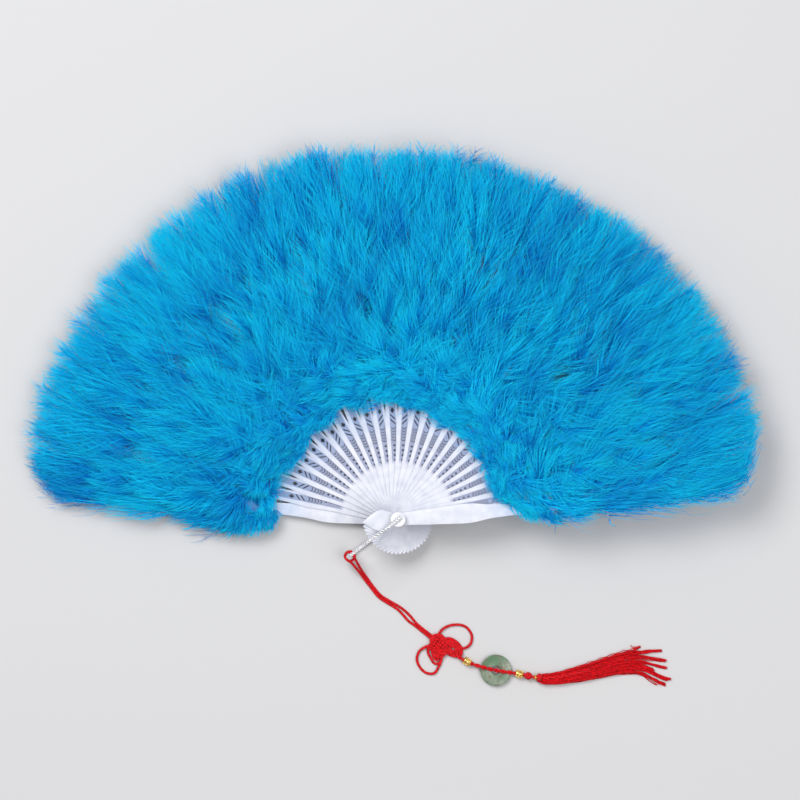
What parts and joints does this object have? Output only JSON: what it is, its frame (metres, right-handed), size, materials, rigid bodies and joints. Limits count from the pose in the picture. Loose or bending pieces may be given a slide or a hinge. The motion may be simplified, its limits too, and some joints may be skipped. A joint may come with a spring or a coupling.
{
  "type": "feather fan",
  "caption": "Folding feather fan, laid open: pierced white staves and plain guards on a rivet, blue downy plumes, a silver bail and a red knotted tassel with a stone ring.",
  "frame": {"origin": "centre of the flat underside of the rivet's rear head, on the surface that the open fan lies on", "axes": "+X across the open fan's width, from the rear guard to the front guard; +Y up the fan's middle, from the rivet to the plumes; +Z along the rivet, towards the front guard"},
  "size_m": [0.4986, 0.3632, 0.0459],
  "materials": {
    "fluff": "soft, downy",
    "stick_plastic": "moulded, satin",
    "silver": "bright, twisted",
    "red_cord": "satin braid",
    "gold": "polished",
    "jade": "polished, mottled"
  },
  "bodies": {
    "root": {"rear_guard": "stick_plastic", "rear_plume": "fluff", "rivet": "silver"},
    "front_stick": {"front_guard": "stick_plastic", "front_plume": "fluff"},
    "stick_01": {"stave_01": "stick_plastic", "plume_01": "fluff"},
    "stick_02": {"stave_02": "stick_plastic", "plume_02": "fluff"},
    "stick_03": {"stave_03": "stick_plastic", "plume_03": "fluff"},
    "stick_04": {"stave_04": "stick_plastic", "plume_04": "fluff"},
    "stick_05": {"stave_05": "stick_plastic", "plume_05": "fluff"},
    "stick_06": {"stave_06": "stick_plastic", "plume_06": "fluff"},
    "stick_07": {"stave_07": "stick_plastic", "plume_07": "fluff"},
    "stick_08": {"stave_08": "stick_plastic", "plume_08": "fluff"},
    "stick_09": {"stave_09": "stick_plastic", "plume_09": "fluff"},
    "stick_10": {"stave_10": "stick_plastic", "plume_10": "fluff"},
    "stick_11": {"stave_11": "stick_plastic", "plume_11": "fluff"},
    "stick_12": {"stave_12": "stick_plastic", "plume_12": "fluff"},
    "stick_13": {"stave_13": "stick_plastic", "plume_13": "fluff"},
    "stick_14": {"stave_14": "stick_plastic", "plume_14": "fluff"},
    "stick_15": {"stave_15": "stick_plastic", "plume_15": "fluff"},
    "stick_16": {"stave_16": "stick_plastic", "plume_16": "fluff"},
    "stick_17": {"stave_17": "stick_plastic", "plume_17": "fluff"},
    "stick_18": {"stave_18": "stick_plastic", "plume_18": "fluff"},
    "stick_19": {"stave_19": "stick_plastic", "plume_19": "fluff"},
    "stick_20": {"stave_20": "stick_plastic", "plume_20": "fluff"},
    "stick_21": {"stave_21": "stick_plastic", "plume_21": "fluff"},
    "stick_22": {"stave_22": "stick_plastic", "plume_22": "fluff"},
    "stick_23": {"stave_23": "stick_plastic", "plume_23": "fluff"},
    "stick_24": {"stave_24": "stick_plastic", "plume_24": "fluff"},
    "bail_loop": {"bail": "silver"},
    "tassel_string": {"cord_upper": "red_cord", "knot": "red_cord", "gold_bead_upper": "gold", "jade_disc": "jade", "gold_bead_lower": "gold", "tassel": "red_cord"}
  },
  "joints": [
    {"name": "fold", "type": "hinge", "parent": "root", "child": "front_stick", "pos_m": [0, 0, 0], "axis": [0, 0, 1], "range_deg": [0, 168]},
    {"name": "fold_01", "type": "hinge", "parent": "root", "child": "stick_01", "pos_m": [0, 0, 0], "axis": [0, 0, 1], "range_deg": [0, 168]},
    {"name": "fold_02", "type": "hinge", "parent": "root", "child": "stick_02", "pos_m": [0, 0, 0], "axis": [0, 0, 1], "range_deg": [0, 168]},
    {"name": "fold_03", "type": "hinge", "parent": "root", "child": "stick_03", "pos_m": [0, 0, 0], "axis": [0, 0, 1], "range_deg": [0, 168]},
    {"name": "fold_04", "type": "hinge", "parent": "root", "child": "stick_04", "pos_m": [0, 0, 0], "axis": [0, 0, 1], "range_deg": [0, 168]},
    {"name": "fold_05", "type": "hinge", "parent": "root", "child": "stick_05", "pos_m": [0, 0, 0], "axis": [0, 0, 1], "range_deg": [0, 168]},
    {"name": "fold_06", "type": "hinge", "parent": "root", "child": "stick_06", "pos_m": [0, 0, 0], "axis": [0, 0, 1], "range_deg": [0, 168]},
    {"name": "fold_07", "type": "hinge", "parent": "root", "child": "stick_07", "pos_m": [0, 0, 0], "axis": [0, 0, 1], "range_deg": [0, 168]},
    {"name": "fold_08", "type": "hinge", "parent": "root", "child": "stick_08", "pos_m": [0, 0, 0], "axis": [0, 0, 1], "range_deg": [0, 168]},
    {"name": "fold_09", "type": "hinge", "parent": "root", "child": "stick_09", "pos_m": [0, 0, 0], "axis": [0, 0, 1], "range_deg": [0, 168]},
    {"name": "fold_10", "type": "hinge", "parent": "root", "child": "stick_10", "pos_m": [0, 0, 0], "axis": [0, 0, 1], "range_deg": [0, 168]},
    {"name": "fold_11", "type": "hinge", "parent": "root", "child": "stick_11", "pos_m": [0, 0, 0], "axis": [0, 0, 1], "range_deg": [0, 168]},
    {"name": "fold_12", "type": "hinge", "parent": "root", "child": "stick_12", "pos_m": [0, 0, 0], "axis": [0, 0, 1], "range_deg": [0, 168]},
    {"name": "fold_13", "type": "hinge", "parent": "root", "child": "stick_13", "pos_m": [0, 0, 0], "axis": [0, 0, 1], "range_deg": [0, 168]},
    {"name": "fold_14", "type": "hinge", "parent": "root", "child": "stick_14", "pos_m": [0, 0, 0], "axis": [0, 0, 1], "range_deg": [0, 168]},
    {"name": "fold_15", "type": "hinge", "parent": "root", "child": "stick_15", "pos_m": [0, 0, 0], "axis": [0, 0, 1], "range_deg": [0, 168]},
    {"name": "fold_16", "type": "hinge", "parent": "root", "child": "stick_16", "pos_m": [0, 0, 0], "axis": [0, 0, 1], "range_deg": [0, 168]},
    {"name": "fold_17", "type": "hinge", "parent": "root", "child": "stick_17", "pos_m": [0, 0, 0], "axis": [0, 0, 1], "range_deg": [0, 168]},
    {"name": "fold_18", "type": "hinge", "parent": "root", "child": "stick_18", "pos_m": [0, 0, 0], "axis": [0, 0, 1], "range_deg": [0, 168]},
    {"name": "fold_19", "type": "hinge", "parent": "root", "child": "stick_19", "pos_m": [0, 0, 0], "axis": [0, 0, 1], "range_deg": [0, 168]},
    {"name": "fold_20", "type": "hinge", "parent": "root", "child": "stick_20", "pos_m": [0, 0, 0], "axis": [0, 0, 1], "range_deg": [0, 168]},
    {"name": "fold_21", "type": "hinge", "parent": "root", "child": "stick_21", "pos_m": [0, 0, 0], "axis": [0, 0, 1], "range_deg": [0, 168]},
    {"name": "fold_22", "type": "hinge", "parent": "root", "child": "stick_22", "pos_m": [0, 0, 0], "axis": [0, 0, 1], "range_deg": [0, 168]},
    {"name": "fold_23", "type": "hinge", "parent": "root", "child": "stick_23", "pos_m": [0, 0, 0], "axis": [0, 0, 1], "range_deg": [0, 168]},
    {"name": "fold_24", "type": "hinge", "parent": "root", "child": "stick_24", "pos_m": [0, 0, 0], "axis": [0, 0, 1], "range_deg": [0, 168]},
    {"name": "bail_swing", "type": "hinge", "parent": "root", "child": "bail_loop", "pos_m": [0, 0, 0], "axis": [0, 0, 1], "range_deg": [-26, 120]},
    {"name": "tassel_swing", "type": "hinge", "parent": "bail_loop", "child": "tassel_string", "pos_m": [-0.0333, -0.0251, 0], "axis": [0, 0, 1], "range_deg": [-120, 26]}
  ],
  "couplings": [
    {"joint": "fold_01", "follows": "fold", "ratio": 0.04},
    {"joint": "fold_02", "follows": "fold", "ratio": 0.08},
    {"joint": "fold_03", "follows": "fold", "ratio": 0.12},
    {"joint": "fold_04", "follows": "fold", "ratio": 0.16},
    {"joint": "fold_05", "follows": "fold", "ratio": 0.2},
    {"joint": "fold_06", "follows": "fold", "ratio": 0.24},
    {"joint": "fold_07", "follows": "fold", "ratio": 0.28},
    {"joint": "fold_08", "follows": "fold", "ratio": 0.32},
    {"joint": "fold_09", "follows": "fold", "ratio": 0.36},
    {"joint": "fold_10", "follows": "fold", "ratio": 0.4},
    {"joint": "fold_11", "follows": "fold", "ratio": 0.44},
    {"joint": "fold_12", "follows": "fold", "ratio": 0.48},
    {"joint": "fold_13", "follows": "fold", "ratio": 0.52},
    {"joint": "fold_14", "follows": "fold", "ratio": 0.56},
    {"joint": "fold_15", "follows": "fold", "ratio": 0.6},
    {"joint": "fold_16", "follows": "fold", "ratio": 0.64},
    {"joint": "fold_17", "follows": "fold", "ratio": 0.68},
    {"joint": "fold_18", "follows": "fold", "ratio": 0.72},
    {"joint": "fold_19", "follows": "fold", "ratio": 0.76},
    {"joint": "fold_20", "follows": "fold", "ratio": 0.8},
    {"joint": "fold_21", "follows": "fold", "ratio": 0.84},
    {"joint": "fold_22", "follows": "fold", "ratio": 0.88},
    {"joint": "fold_23", "follows": "fold", "ratio": 0.92},
    {"joint": "fold_24", "follows": "fold", "ratio": 0.96},
    {"joint": "tassel_swing", "follows": "bail_swing", "ratio": -1}
  ]
}
